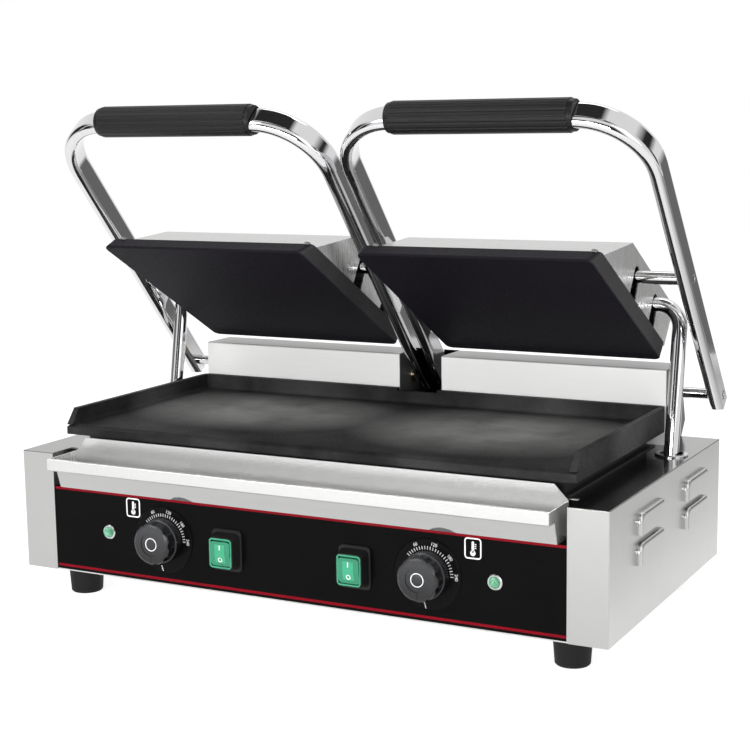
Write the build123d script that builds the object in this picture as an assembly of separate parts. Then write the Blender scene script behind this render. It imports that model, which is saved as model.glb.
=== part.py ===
"""Double contact grill with two lifting heads, built as separate pieces in one frame."""
import math
import os

from build123d import *

# Driving sizes, in millimetres and degrees. Everything else follows from them.
case_width = 570.0
case_depth = 305.0
case_height = 109.8
foot_height = 27.5
foot_radius = 16.5
sheet = 1.2
flange_width = 33.4
plate_margin = 35.2
plate_front = 21.7
plate_lift = 14.0
plate_floor = 8.7
rim_height = 14.2
rim_thick = 5.2
plate_back_gap = 2.9
spring_box_depth = 48.8
spring_box_height = 69.8
centre_gap = 45.0
pivot_above_case = 44.7
pivot_from_back = 16.5
arm_length = 336.5
arm_wide = 25.0
arm_thick = 12.0
arm_bend = 57.0
arm_open = 49.0
inner_arm_x = 10.7
hanger_radius = 5.75
pivot_radius = 5.0
grip_radius = 14.0
grip_length = 165.0
head_front_gap = 5.5
head_back_gap = 12.1
head_tilt = 29.5
head_thick = 15.0
head_rise = 35.5
cover_height = 58.0
conduit_radius = 6.75
conduit_behind = 60.0
closed_gap = 1.0
knob_radius = 18.6
knob_reach = 20.0
dial_radius = 30.3
lip_reach = 18.3

# Heights and planes that follow.
spring_box_front = case_depth - spring_box_depth
plate_back = spring_box_front - plate_back_gap
case_bottom = foot_height
case_top = case_bottom + case_height
half_case = case_width / 2
plate_half = half_case - plate_margin
plate_bottom = case_top + plate_lift
plate_top = plate_bottom + plate_floor
rim_top = plate_top + rim_height
opening_half = half_case - flange_width - sheet
strip_inner = plate_half - 10.0
shelf_top = case_top - 31.0
panel_top = shelf_top - sheet
panel_face = 1.0
tray_back = plate_front + 3.3
bulkhead_y = tray_back + 3.0
box_inner = centre_gap / 2
box_outer = plate_half - 1.3
box_top = case_top + spring_box_height
box_back = case_depth - 6.0
box_kink = case_depth + 12.0
arm_x = half_case + 1.0
pivot_y = case_depth - pivot_from_back
pivot_z = case_top + pivot_above_case
origin_shift = (knob_reach - box_kink) / 2

# The heads: width, and where the hanger rod crosses them.
head_inner = box_inner + 4.2
head_outer = plate_half - rim_thick - 3.0
head_width = head_outer - head_inner
head_mid = (head_inner + head_outer) / 2
head_depth = plate_back - plate_front - head_front_gap - head_back_gap
head_front_to_rod = head_depth / 2 + 2.0

# The arm's travel: closed when the head lies flat above the lower plate.
closed_rod_y = plate_front + head_front_gap + head_front_to_rod
closed_rod_z = plate_top + closed_gap + head_rise
rod_reach = math.hypot(pivot_y - closed_rod_y, closed_rod_z - pivot_z)
closed_angle = math.degrees(math.atan2(closed_rod_z - pivot_z, pivot_y - closed_rod_y))
arm_travel = arm_open - closed_angle
head_ratio = (head_tilt - arm_travel) / arm_travel

# The controls on the front.
knob_x = case_width * 0.228
knob_z = case_bottom + 41.5
switch_x = case_width * 0.1105
switch_z = case_bottom + 39.5
lamp_x = case_width * 0.3325
lamp_z = case_bottom + 42.0
spindle_radius = 3.0
run_gap = 0.05
slip_gap = 0.3

# The conduit: the upright leg runs midway between plate rim and outer arm.
leg_x = (plate_half + arm_x - arm_thick / 2) / 2 + 0.9
leg_bend = 20.0


def rod_at(share):
    """Hanger rod's centre (y, z) and the head's tilt, at a share of the closing travel."""
    turn = math.radians(arm_open - arm_travel * share)
    rod_y = pivot_y - rod_reach * math.cos(turn)
    rod_z = pivot_z + rod_reach * math.sin(turn)
    return rod_y, rod_z, head_tilt * (1 - share)


def leg_crossing(lean, share):
    """Where the conduit's leg passes the top of the casing."""
    rod_y, rod_z, tilt = rod_at(share)
    end_y = rod_y + conduit_behind * math.cos(math.radians(tilt))
    end_z = rod_z - conduit_behind * math.sin(math.radians(tilt))
    return end_y + (end_z - case_top) * math.tan(math.radians(lean - tilt))


def find_lean():
    """The lean at which the leg passes the same point with the head up and down."""
    low, high = 0.0, 45.0
    for _ in range(50):
        middle = (low + high) / 2
        if leg_crossing(middle, 0) < leg_crossing(middle, 1):
            low = middle
        else:
            high = middle
    return (low + high) / 2


leg_lean = find_lean()
crossings = [leg_crossing(leg_lean, step / 8) for step in range(9)]
hole_y = (min(crossings) + max(crossings)) / 2
hole_radius = conduit_radius / math.cos(math.radians(leg_lean)) + (max(crossings) - min(crossings)) / 2 + 2.4
leg_length = (rod_at(0)[1] - conduit_behind * math.sin(math.radians(head_tilt)) - case_top) + 14.0


def block(x0, x1, y0, y1, z0, z1):
    """A box between two corners."""
    middle = ((x0 + x1) / 2, (y0 + y1) / 2, (z0 + z1) / 2)
    return Pos(*middle) * Box(abs(x1 - x0), abs(y1 - y0), abs(z1 - z0))


def side_prism(points, x0, x1):
    """A prism along X from a (y, z) outline."""
    outline = Plane.YZ * make_face(Polyline(*[(y, z) for y, z in points], close=True))
    return Pos(x0, 0, 0) * extrude(outline, amount=x1 - x0)


def along_y(radius, x, z, y0, y1):
    """A cylinder along Y."""
    return Pos(x, (y0 + y1) / 2, z) * Rot(90, 0, 0) * Cylinder(radius, abs(y1 - y0))


def along_x(radius, y, z, x0, x1):
    """A cylinder along X."""
    return Pos((x0 + x1) / 2, y, z) * Rot(0, 90, 0) * Cylinder(radius, abs(x1 - x0))


def upright(radius, x, y, z0, z1):
    """A cylinder along Z."""
    return Pos(x, y, (z0 + z1) / 2) * Cylinder(radius, abs(z1 - z0))


def round_slot(length, width, x, y, z, depth, normal):
    """A slot cutter: a rounded rectangle pushed through a sheet."""
    face = Plane(origin=(x, y, z), x_dir=(1, 0, 0), z_dir=normal) * SlotOverall(length, width)
    return extrude(face, amount=depth, both=True)


def piped(points, radius, bend):
    """A round bar along straight runs with rounded corners."""
    path = FilletPolyline(*points, radius=bend)
    start = Plane(origin=path @ 0, z_dir=path % 0)
    return sweep(start * Circle(radius), path=path)


def other_side(shape):
    """The same piece on the other side of the grill."""
    return mirror(shape, about=Plane.YZ)


def save(shape, name):
    """Moves a finished piece to the shared origin and writes it."""
    placed = Pos(0, origin_shift, 0) * shape
    export_step(placed, "parts/" + name + ".step")


def save_pair(shape, name):
    """Writes a piece and its mirror image."""
    save(shape, name + "_right")
    save(other_side(shape), name + "_left")


# Casing.
louvre_out = 4.4
louvre_tall = 18.5
louvre_long = 66.0
louvre_corner = 9.0
louvre_round = 3.0


def louvre_solid(middle_y, low_z, inset):
    """A pressed hood: a rounded bulge whose foot stays open."""
    tall = louvre_tall - inset
    outline = Plane.YZ * Pos(0, tall / 2) * Rectangle(louvre_long - inset * 2, tall)
    outline = fillet(outline.vertices().group_by(Axis.Z)[-1], louvre_corner - inset)
    bulge = extrude(outline, amount=louvre_out - inset)
    rim = bulge.faces().sort_by(Axis.X)[-1].edges().filter_by(lambda e: e.center().Z > 0.1)
    bulge = fillet(rim, louvre_round - inset)
    return Pos(half_case, middle_y, low_z) * bulge


def side_case():
    """The right side of the casing: folded sheet with four louvres."""
    lower, upper = case_bottom, case_top
    wall = half_case - sheet
    case = block(wall, half_case, 0, case_depth, lower, upper)
    case += block(opening_half + sheet, half_case, 0, sheet, lower, upper)
    case += block(opening_half, opening_half + sheet, 0, bulkhead_y, lower + sheet, upper)
    case += block(opening_half, half_case, 0, bulkhead_y, upper - sheet, upper)
    case += block(strip_inner, half_case, bulkhead_y, case_depth, upper - sheet, upper)
    case += block(half_case - 20, half_case, 0, case_depth, lower, lower + sheet)
    case += block(half_case - 23, half_case, case_depth - sheet, case_depth, lower, upper)
    corner = case.edges().filter_by(Axis.Z).filter_by(lambda e: abs(e.center().X - half_case) < 0.01)
    case = fillet(corner, 1.0)
    rim = case.edges().filter_by(lambda e: abs(e.center().X - half_case) < 0.5 and e.length > 200)
    case = fillet(rim.filter_by(lambda e: e.center().Z > upper - 1), 0.8)
    case -= upright(hole_radius + 1.6, leg_x, hole_y, upper - 4, upper + 4)
    for middle_y in (case_depth * 0.322, case_depth * 0.741):
        for low_z in (lower + 50.0, lower + 75.0):
            case += louvre_solid(middle_y, low_z, 0.0)
            case -= louvre_solid(middle_y, low_z - 0.8, sheet * 0.85)
            case -= block(wall - 1, half_case + 0.1, middle_y - 25, middle_y + 25, low_z, low_z + 9)
    return case


def base_pan():
    """The bottom sheet, with turned-up ends and rows of air slots."""
    half = half_case - 20.0
    low = case_bottom
    pan = block(-half, half, sheet, case_depth - sheet, low, low + sheet)
    pan += block(-half, half, case_depth - sheet * 2, case_depth - sheet, low, low + 12)
    pan += block(-opening_half + 1, opening_half - 1, panel_face + 1.5, panel_face + 2.7, low, low + 12)
    for row in range(5):
        for column_x in (-half * 0.55, 0.0, half * 0.55):
            slot_y = case_depth * (0.22 + 0.14 * row)
            pan -= round_slot(70, 6, column_x, slot_y, low, 4, (0, 0, 1))
    for side in (-1, 1):
        for foot_y in foot_rows():
            pan -= upright(2.6, side * foot_column(), foot_y, low - 2, low + 4)
    return pan


def foot_column():
    """Distance of the feet from the middle."""
    return half_case - 41.7


def foot_rows():
    """Front and back rows of feet."""
    return (33.2, case_depth - 33.2)


def feet():
    """Four tapered rubber feet, each with a screw well."""
    profile = [
        (0, 4),
        (4, 4),
        (4, 0),
        (foot_radius * 0.82, 0),
        (foot_radius * 0.89, 1.2),
        (foot_radius, foot_height - 2),
        (foot_radius - 0.4, foot_height),
        (0, foot_height),
    ]
    one = revolve(Plane.XZ * make_face(Polyline(*profile, close=True)), axis=Axis.Z)
    spots = [(side * foot_column(), foot_y, 0) for side in (-1, 1) for foot_y in foot_rows()]
    return Compound(children=[Pos(*spot) * one for spot in spots])


def rear_panel():
    """The back sheet with two groups of upright slots and the cable hole."""
    half = half_case - 23.0
    low, high = case_bottom + sheet, case_top - sheet
    panel = block(-half, half, case_depth - sheet, case_depth, low, high)
    for side in (-1, 1):
        for count in range(6):
            slot_x = side * (case_width * 0.16 + count * 13)
            slot = Plane(origin=(slot_x, case_depth, (low + high) / 2 + 8), x_dir=(0, 0, 1), z_dir=(0, 1, 0))
            panel -= extrude(slot * SlotOverall(46, 5), amount=4, both=True)
    panel -= along_y(9.0, gland_x(), case_bottom + 26, case_depth - 6, case_depth + 6)
    return panel


def gland_x():
    """The cable outlet's place along the back."""
    return -case_width * 0.36


def cable_gland():
    """The empty cable outlet: flange, hexagon and dome, bored through, with a nut inside."""
    spot_z = case_bottom + 26
    back = case_depth
    gland = along_y(8.8, gland_x(), spot_z, back - 10, back)
    gland += along_y(12.5, gland_x(), spot_z, back, back + 2)
    hexagon = Plane(origin=(gland_x(), back + 2, spot_z), x_dir=(1, 0, 0), z_dir=(0, 1, 0))
    gland += extrude(hexagon * RegularPolygon(11, 6), amount=4)
    gland += along_y(8.4, gland_x(), spot_z, back + 6, back + 10)
    nut = Plane(origin=(gland_x(), back - sheet - 5, spot_z), x_dir=(1, 0, 0), z_dir=(0, 1, 0))
    gland += extrude(nut * RegularPolygon(12.5, 6), amount=5)
    gland -= along_y(5.0, gland_x(), spot_z, back - 20, back + 20)
    return gland


def control_panel():
    """The black front, folded back at the top as the shelf the drip tray stands on."""
    half = opening_half
    low = case_bottom + sheet
    panel = block(-half, half, panel_face, panel_face + 1.5, low, shelf_top)
    panel += block(-half, half, panel_face, bulkhead_y, panel_top, shelf_top)
    for side in (-1, 1):
        panel -= along_y(spindle_radius + 1.5, side * knob_x, knob_z, -4, 8)
        panel -= along_y(4.6, side * lamp_x, lamp_z, -4, 8)
        panel -= block(side * switch_x - 12, side * switch_x + 12, -4, 8, switch_z - 14.5, switch_z + 14.5)
    return panel


def deck():
    """The top sheet between the side cases, opened for the heater pan, with a front drop."""
    half = strip_inner
    top = case_top
    sheet_top = block(-half, half, bulkhead_y, case_depth, top - sheet, top)
    drop = block(-half, half, bulkhead_y, bulkhead_y + sheet, panel_top, top)
    opening = block(-plate_half + 14, plate_half - 14, plate_front + 13, plate_back - 9, top - 4, top + 4)
    return sheet_top + drop - opening


# Lower plate and its heat source.
def lower_plate():
    """The cast griddle: open front, rims on three sides with cut-back front ends."""
    plate = block(-plate_half, plate_half, plate_front, plate_back, plate_bottom, rim_top)
    plate = fillet(plate.edges().filter_by(Axis.Z).group_by(Axis.Y)[-1], 7)
    floor_half = plate_half - rim_thick - 1.0
    mouth_half = plate_half - rim_thick
    back_low = plate_back - rim_thick - 1.0
    back_high = plate_back - rim_thick
    front = plate_front - 20
    low_face = Pos(0, (front + back_low) / 2, plate_top) * Rectangle(floor_half * 2, back_low - front)
    high_face = Pos(0, (front + back_high) / 2, rim_top + 0.01) * Rectangle(mouth_half * 2, back_high - front)
    pocket = loft([low_face, high_face])
    plate -= pocket
    slope = [
        (plate_front - 1, plate_top - 0.5),
        (plate_front - 1, rim_top + 1),
        (plate_front + 12.5, rim_top + 1),
        (plate_front + 11.5, rim_top),
        (plate_front, plate_top),
    ]
    plate -= side_prism(slope, -plate_half - 1, plate_half + 1)
    bevel = [
        (plate_front - 1, plate_top - 2.4),
        (plate_front - 1, plate_top + 0.2),
        (plate_front + 6.0, plate_top + 0.2),
        (plate_front + 6.0, plate_top),
    ]
    plate -= side_prism(bevel, -plate_half - 1, plate_half + 1)
    inner_floor = plate.edges().filter_by(
        lambda e: abs(e.center().Z - plate_top) < 0.05 and e.length > 150 and e.center().Y > plate_front + 20
    )
    plate = fillet(inner_floor, 3.0)
    notch = block(-box_inner + 1, box_inner - 1, back_low - 2, plate_back + 1, rim_top - 3.0, rim_top + 1)
    plate -= notch
    for side in (-1, 1):
        for well_y in (plate_front + 40, plate_back - 40):
            plate -= upright(3.2, side * plate_half * 0.5, well_y, plate_bottom - 1, plate_bottom + 5)
    return plate


pan_half = plate_half - 15.0
pan_front = plate_front + 14.0
pan_back = plate_back - 10.0
pan_low = case_top - 24.0
element_z = plate_bottom - 4.3


def heater_pan():
    """The sheet pan under the griddle, hung on the deck by a rolled-out flange."""
    pan = block(-pan_half, pan_half, pan_front, pan_back, pan_low, plate_bottom)
    pan -= block(
        -pan_half + sheet,
        pan_half - sheet,
        pan_front + sheet,
        pan_back - sheet,
        pan_low + sheet,
        plate_bottom + 1,
    )
    ring = block(-pan_half - 6, pan_half + 6, pan_front - 5, pan_back + 6, case_top, case_top + sheet)
    ring -= block(-pan_half, pan_half, pan_front, pan_back, case_top - 1, case_top + 3)
    pan += ring
    for hole_x, hole_y_value in element_ends():
        pan -= upright(5.0, hole_x, hole_y_value, pan_low - 2, pan_low + 4)
    for side in (-1, 1):
        pan -= upright(2.2, side * knob_x, bulb_y(), pan_low - 2, pan_low + 4)
    return pan


def element_rows():
    """The four runs of the lower heating element, front to back."""
    depth = pan_back - pan_front
    return [pan_front + depth * share for share in (0.13, 0.31, 0.69, 0.87)]


def element_ends():
    """Where the element's cold ends pass the pan's floor."""
    rows = element_rows()
    return [(side * 30.0, row) for side in (-1, 1) for row in (rows[0], rows[3])]


def bulb_y():
    """The thermostat bulb's place, in the gap between element runs."""
    return (pan_front + pan_back) / 2


def lower_element():
    """The right heating element, bent in four runs with its ends turned down."""
    rows = element_rows()
    far = pan_half - 14.0
    near = 30.0
    low = pan_low - 12.0
    points = [
        (near, rows[0], low),
        (near, rows[0], element_z),
        (far, rows[0], element_z),
        (far, rows[1], element_z),
        (near + 20, rows[1], element_z),
        (near + 20, rows[2], element_z),
        (far, rows[2], element_z),
        (far, rows[3], element_z),
        (near, rows[3], element_z),
        (near, rows[3], low),
    ]
    return piped(points, 4.0, 11.0)


def lower_insulation():
    """Mineral wool slab under the elements, with holes for the leads."""
    slab = block(
        -pan_half + sheet + 1,
        pan_half - sheet - 1,
        pan_front + sheet + 1,
        pan_back - sheet - 1,
        pan_low + sheet,
        element_z - 4.6,
    )
    for lead_x, lead_y in element_ends():
        slab -= upright(5.5, lead_x, lead_y, pan_low, plate_bottom)
        way = math.copysign(14.0, lead_x)
        slab -= block(lead_x, lead_x + way, lead_y - 5.5, lead_y + 5.5, element_z - 12, plate_bottom)
    for side in (-1, 1):
        slab -= upright(3.0, side * knob_x, bulb_y(), pan_low, plate_bottom)
    return slab


# Spring boxes, their springs and bushes.
def spring_box():
    """The right spring box: folded sheet with a leaning back, open below."""
    low, high = case_top, box_top
    kink_z = low + 14.6
    outer = [
        (spring_box_front, low),
        (spring_box_front, high),
        (box_back, high),
        (box_kink, kink_z),
        (case_depth, low),
    ]
    box = side_prism(outer, box_inner, box_outer)
    top_edges = box.edges().filter_by(Axis.X).group_by(Axis.Z)[-1]
    box = fillet(top_edges, 2.0)
    box = fillet(box.faces().sort_by(Axis.X)[0].edges().filter_by(Axis.Z), 0.9)
    box = fillet(box.faces().sort_by(Axis.X)[-1].edges().filter_by(Axis.Z), 0.9)
    wall = sheet
    inner = [
        (spring_box_front + wall, low - 1),
        (spring_box_front + wall, high - wall),
        (box_back - wall, high - wall),
        (box_kink - wall * 1.4, kink_z),
        (case_depth - wall * 1.4, low - 1),
    ]
    box -= side_prism(inner, box_inner + wall, box_outer - wall)
    box -= along_x(bush_radius, pivot_y, pivot_z, box_inner - 2, box_outer + 2)
    return box


def gap_plate():
    """The dark sheet that closes the gap behind the inner arms."""
    kink_z = case_top + 14.6
    outline = [
        (case_depth - sheet, case_top),
        (box_kink - sheet, kink_z),
        (box_back - sheet, box_top),
        (box_back, box_top),
        (box_kink, kink_z),
        (case_depth, case_top),
    ]
    plate = side_prism(outline, -box_inner, box_inner)
    plate += block(-box_inner, box_inner, spring_box_front + 4, case_depth - sheet, case_top, case_top + sheet)
    return plate


bush_radius = 8.0


def bushes():
    """Flanged bearing bushes for the pivot rods, two in each spring box."""
    rings = []
    for wall_x, way in ((box_inner, 1), (box_outer, -1)):
        tube = along_x(bush_radius, pivot_y, pivot_z, wall_x, wall_x + way * 8)
        tube += along_x(bush_radius + 2.5, pivot_y, pivot_z, wall_x + way * sheet, wall_x + way * (sheet + 2))
        tube -= along_x(pivot_radius + run_gap, pivot_y, pivot_z, wall_x - way * 2, wall_x + way * 12)
        rings.append(tube)
        rings.append(other_side(tube))
    return Compound(children=rings)


spring_radius = 11.0
wire_radius = 2.0
spring_turns = 4
spring_pitch = 6.0


def coil_point(start_x, half_turn):
    """A point on the coil's line, counted in half turns from its foot."""
    turn = math.pi * half_turn
    x = start_x + spring_pitch * half_turn / 2
    return Vector(x, pivot_y + spring_radius * math.sin(turn), pivot_z - spring_radius * math.cos(turn))


def coil_way(half_turn):
    """The coil's direction at that point; it starts square to the rod, in line with the leg."""
    turn = math.pi * half_turn
    rise = 0 if half_turn == 0 else spring_pitch / (2 * math.pi)
    return Vector(rise, spring_radius * math.cos(turn), spring_radius * math.sin(turn)).normalized()


def biarc(start, start_way, end, end_way):
    """Two arcs that meet smoothly and run from one point and direction to another."""
    across = end - start
    along = across.dot(start_way + end_way)
    spread = 2 * (1 - start_way.dot(end_way))
    handle = (math.sqrt(along**2 + spread * across.dot(across)) - along) / spread
    middle = (start + end + (start_way - end_way) * handle) / 2
    middle_way = (end - end_way * handle) - (start + start_way * handle)
    return TangentArc(start, middle, tangent=start_way) + TangentArc(middle, end, tangent=middle_way)


def torsion_spring():
    """The counterbalance spring: a coil round the pivot rod with one leg on the box's front."""
    start_x = box_inner + 40.0
    foot = coil_point(start_x, 0)
    path = Line((start_x, spring_box_front + sheet, foot.Z), foot)
    for half in range(spring_turns * 2):
        start, end = coil_point(start_x, half), coil_point(start_x, half + 1)
        path += biarc(start, coil_way(half), end, coil_way(half + 1))
    points = [path @ (step / 120) for step in range(121)]
    turn_apart = 120 // spring_turns
    gaps = [(points[i] - points[j]).length for i in range(121) for j in range(i + turn_apart // 2, 121)]
    print("torsion spring: least gap to itself", round(min(gaps) - wire_radius * 2, 2), "mm")
    start = Plane(origin=path @ 0, z_dir=(0, 1, 0))
    return sweep(start * Circle(wire_radius), path=path)


def spring_collar():
    """The ring on the pivot rod that winds the spring up."""
    x0 = box_inner + 40.0 + spring_turns * spring_pitch + wire_radius + 0.6
    collar = along_x(14.0, pivot_y, pivot_z, x0, x0 + 12)
    collar -= along_x(pivot_radius, pivot_y, pivot_z, x0 - 1, x0 + 13)
    collar -= upright(2.5, x0 + 6, pivot_y, pivot_z, pivot_z + 20)
    return collar


def grommets():
    """Rings that guide the conduit legs through the casing's top."""
    ring = upright(hole_radius + 1.6, leg_x, hole_y, case_top - sheet, case_top)
    ring += upright(hole_radius + 4.5, leg_x, hole_y, case_top, case_top + 1.8)
    ring = chamfer(ring.edges().group_by(Axis.Z)[-1], 0.8)
    ring -= upright(hole_radius, leg_x, hole_y, case_top - 5, case_top + 5)
    return Compound(children=[ring, other_side(ring)])


# Arms.
def lift(shape):
    """Turns a piece built upright over the pivot to the arm's raised angle."""
    return Pos(0, pivot_y, pivot_z) * Rot(90 - arm_open, 0, 0) * shape


def arm_tube():
    """The bent handle: one flat-oval tube up, across and down again."""
    foot = -12.0
    path = FilletPolyline(
        (inner_arm_x, 0, foot),
        (inner_arm_x, 0, arm_length),
        (arm_x, 0, arm_length),
        (arm_x, 0, foot),
        radius=arm_bend,
    )
    start = Plane(origin=path @ 0, x_dir=(0, 1, 0), z_dir=path % 0)
    tube = sweep(start * SlotOverall(arm_wide, arm_thick), path=path)
    for side_x in (inner_arm_x, arm_x):
        for way in (-1, 1):
            corner = Pos(side_x, way * arm_wide / 2, foot) * Rot(45, 0, 0)
            tube -= corner * Box(arm_thick + 2, 7.0, 7.0)
    outer = arm_x + arm_thick / 2
    for height in (0.0, rod_reach):
        tube -= along_x(4.3, 0, height, outer - 1.3, outer + 1)
    return lift(tube)


def grip():
    """The handle sleeve: shallow flutes along it and coned ends."""
    middle_x = (inner_arm_x + arm_x) / 2
    outline = Circle(grip_radius)
    flutes = 18
    for count in range(flutes):
        turn = 2 * math.pi * count / flutes
        spot = (math.cos(turn) * (grip_radius + 1.25), math.sin(turn) * (grip_radius + 1.25))
        outline -= Pos(*spot) * Circle(1.75)
    sleeve = extrude(Plane.YZ * outline, amount=grip_length - 8)
    sleeve = Pos(middle_x - grip_length / 2 + 4, 0, arm_length) * sleeve
    for side in (-1, 1):
        inner_face = middle_x + side * (grip_length / 2 - 4)
        end = Pos(inner_face + side * 2, 0, arm_length) * Rot(0, side * 90, 0)
        sleeve += end * Cone(grip_radius - 0.55, grip_radius - 1.2, 4)
    slot = Plane(origin=(middle_x, 0, arm_length), x_dir=(0, 1, 0), z_dir=(1, 0, 0))
    bore = extrude(slot * SlotOverall(arm_wide + 0.3, arm_thick + 1.6), amount=grip_length, both=True)
    return lift(sleeve - bore)


def hanger_rod():
    """The rod between the arm's two sides that carries the head."""
    x0 = inner_arm_x + arm_thick / 2
    x1 = arm_x - arm_thick / 2
    return lift(along_x(hanger_radius, 0, rod_reach, x0, x1))


def pivot_rod():
    """The rod through the spring box that the arm turns on."""
    x0 = inner_arm_x + arm_thick / 2
    x1 = arm_x - arm_thick / 2
    return along_x(pivot_radius, pivot_y, pivot_z, x0, x1)


# Heads, built flat with the hanger rod at the origin.
def hang(shape):
    """Moves a head piece to the raised hanger rod and tilts it."""
    rod_y, rod_z, tilt = rod_at(0)
    return Pos(0, rod_y, rod_z) * Rot(-tilt, 0, 0) * shape


def head_y(behind_front):
    """From a distance behind the head's front edge to its own y."""
    return behind_front - head_front_to_rod


flank_flare = 1.4
front_lean = 13.0
back_lean = 3.0


def head_plate():
    """The upper casting: flat face below, front flank leaning back, cheeks flared a little."""
    middle_y = head_y(head_depth / 2)
    low = -head_rise
    skirt = 2.0
    foot = Pos(head_mid, middle_y, low) * RectangleRounded(head_width, head_depth, 7)
    plate = extrude(foot, amount=skirt)
    lower = Pos(head_mid, middle_y, low + skirt) * RectangleRounded(head_width, head_depth, 7)
    top_depth = head_depth - front_lean - back_lean
    top_y = middle_y + (front_lean - back_lean) / 2
    upper = RectangleRounded(head_width + flank_flare * 2, top_depth, 4)
    plate += loft([lower, Pos(head_mid, top_y, low + head_thick) * upper])
    plate = chamfer(plate.faces().sort_by(Axis.Z)[0].edges(), 0.8)
    return hang(plate)


cover_front = 21.0
cover_inset = 0.2
cover_overhang = 7.5


def cover_outline(inset):
    """The cover's side view, as (y, z) points."""
    low = head_thick - head_rise
    foot_back = head_depth + 2.5
    top_back = foot_back + cover_overhang
    slope_run = (cover_height - head_thick) * 1.535
    return [
        (head_y(cover_front + inset * 1.6), low - inset),
        (head_y(cover_front + slope_run + inset * 0.4), cover_height - head_rise - inset),
        (head_y(top_back - inset), cover_height - head_rise - inset),
        (head_y(foot_back - inset), low - inset),
    ]


keyhole_rise = 2.5


def keyhole(behind_rod):
    """The slot cutter in the cover's cheeks: round above, widening to its open foot."""
    low = head_thick - head_rise - 1
    narrow = conduit_radius + 0.5
    wide = narrow + 1.3
    shape = [
        (behind_rod - wide, low),
        (behind_rod - narrow, keyhole_rise),
        (behind_rod + narrow, keyhole_rise),
        (behind_rod + wide, low),
    ]
    return shape, narrow


def head_cover():
    """The stainless hood: sloped front, flat top, keyhole slots in both cheeks."""
    x0, x1 = head_inner + cover_inset, head_outer - cover_inset
    hood = side_prism(cover_outline(0), x0, x1)
    hood = fillet(hood.faces().sort_by(Axis.Z)[-1].edges(), 1.5)
    back_wall = hood.faces().sort_by(Axis.Y)[-1]
    hood = fillet(back_wall.edges().filter_by(Axis.X, reverse=True), 1.2)
    wall = 1.0
    hood -= side_prism(cover_outline(wall), x0 + wall, x1 - wall)
    for behind in (0.0, conduit_behind):
        shape, narrow = keyhole(behind)
        hood -= side_prism(shape, x0 - 1, x1 + 1)
        hood -= along_x(narrow, behind, keyhole_rise, x0 - 1, x1 + 1)
    return hang(hood)


def head_brackets():
    """Two drilled ears that carry the head on its rod, and the block that holds the conduit."""
    low = head_thick - head_rise
    pieces = []
    for ear_x in (head_inner + 34, head_outer - 34):
        ear = block(ear_x - 2, ear_x + 2, -13, 13, low, 4)
        ear += along_x(13, 0, 3, ear_x - 2, ear_x + 2)
        ear += block(ear_x - 12, ear_x + 12, -13, 13, low, low + 2.5)
        ear -= along_x(hanger_radius + run_gap, 0, 0, ear_x - 5, ear_x + 5)
        pieces.append(hang(ear))
    clamp_x = head_outer - cover_inset - 24
    clamp = block(clamp_x - 7, clamp_x + 7, conduit_behind - 11, conduit_behind + 11, low, 11)
    clamp -= along_x(conduit_radius + run_gap, conduit_behind, 0, clamp_x - 9, clamp_x + 9)
    pieces.append(hang(clamp))
    return Compound(children=pieces)


def head_element():
    """The head's tubular heating element, in four runs on the casting."""
    tube = 3.5
    level = head_thick - head_rise + tube
    near = head_inner + 26
    far = head_outer - 26
    rows = [head_y(share * head_depth) for share in (0.25, 0.37, 0.7, 0.84)]
    points = [
        (near, rows[0], level + 9.5),
        (near, rows[0], level),
        (far, rows[0], level),
        (far, rows[1], level),
        (near - 10, rows[1], level),
        (near - 10, rows[2], level),
        (far - 44, rows[2], level),
        (far - 44, rows[3], level),
        (near, rows[3], level),
        (near, rows[3], level + 9.5),
    ]
    return hang(piped(points, tube, 9.0))


def head_insulation():
    """Two blankets over the element, clear of the brackets."""
    low = head_thick - head_rise + 7.3
    x0 = head_inner + 34
    x1 = head_outer - 34
    front = block(x0, x1, head_y(cover_front + 27), -17, low, low + 5)
    back = block(x0, x1 - 44, 19, head_y(head_depth - 14), low, low + 5)
    return hang(Compound(children=[front, back]))


def conduit():
    """The cable tube: out of the head's cheek, round a bend and down into the casing."""
    start_x = head_outer - cover_inset - 36
    lean = math.radians(leg_lean)
    end = (leg_x, conduit_behind + leg_length * math.sin(lean), -leg_length * math.cos(lean))
    path = FilletPolyline((start_x, conduit_behind, 0), (leg_x, conduit_behind, 0), end, radius=leg_bend)
    start = Plane(origin=path @ 0, z_dir=path % 0)
    tube = sweep(start * Circle(conduit_radius), path=path)
    tube -= sweep(start * Circle(conduit_radius - 1.2), path=path)
    return hang(tube)


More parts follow.
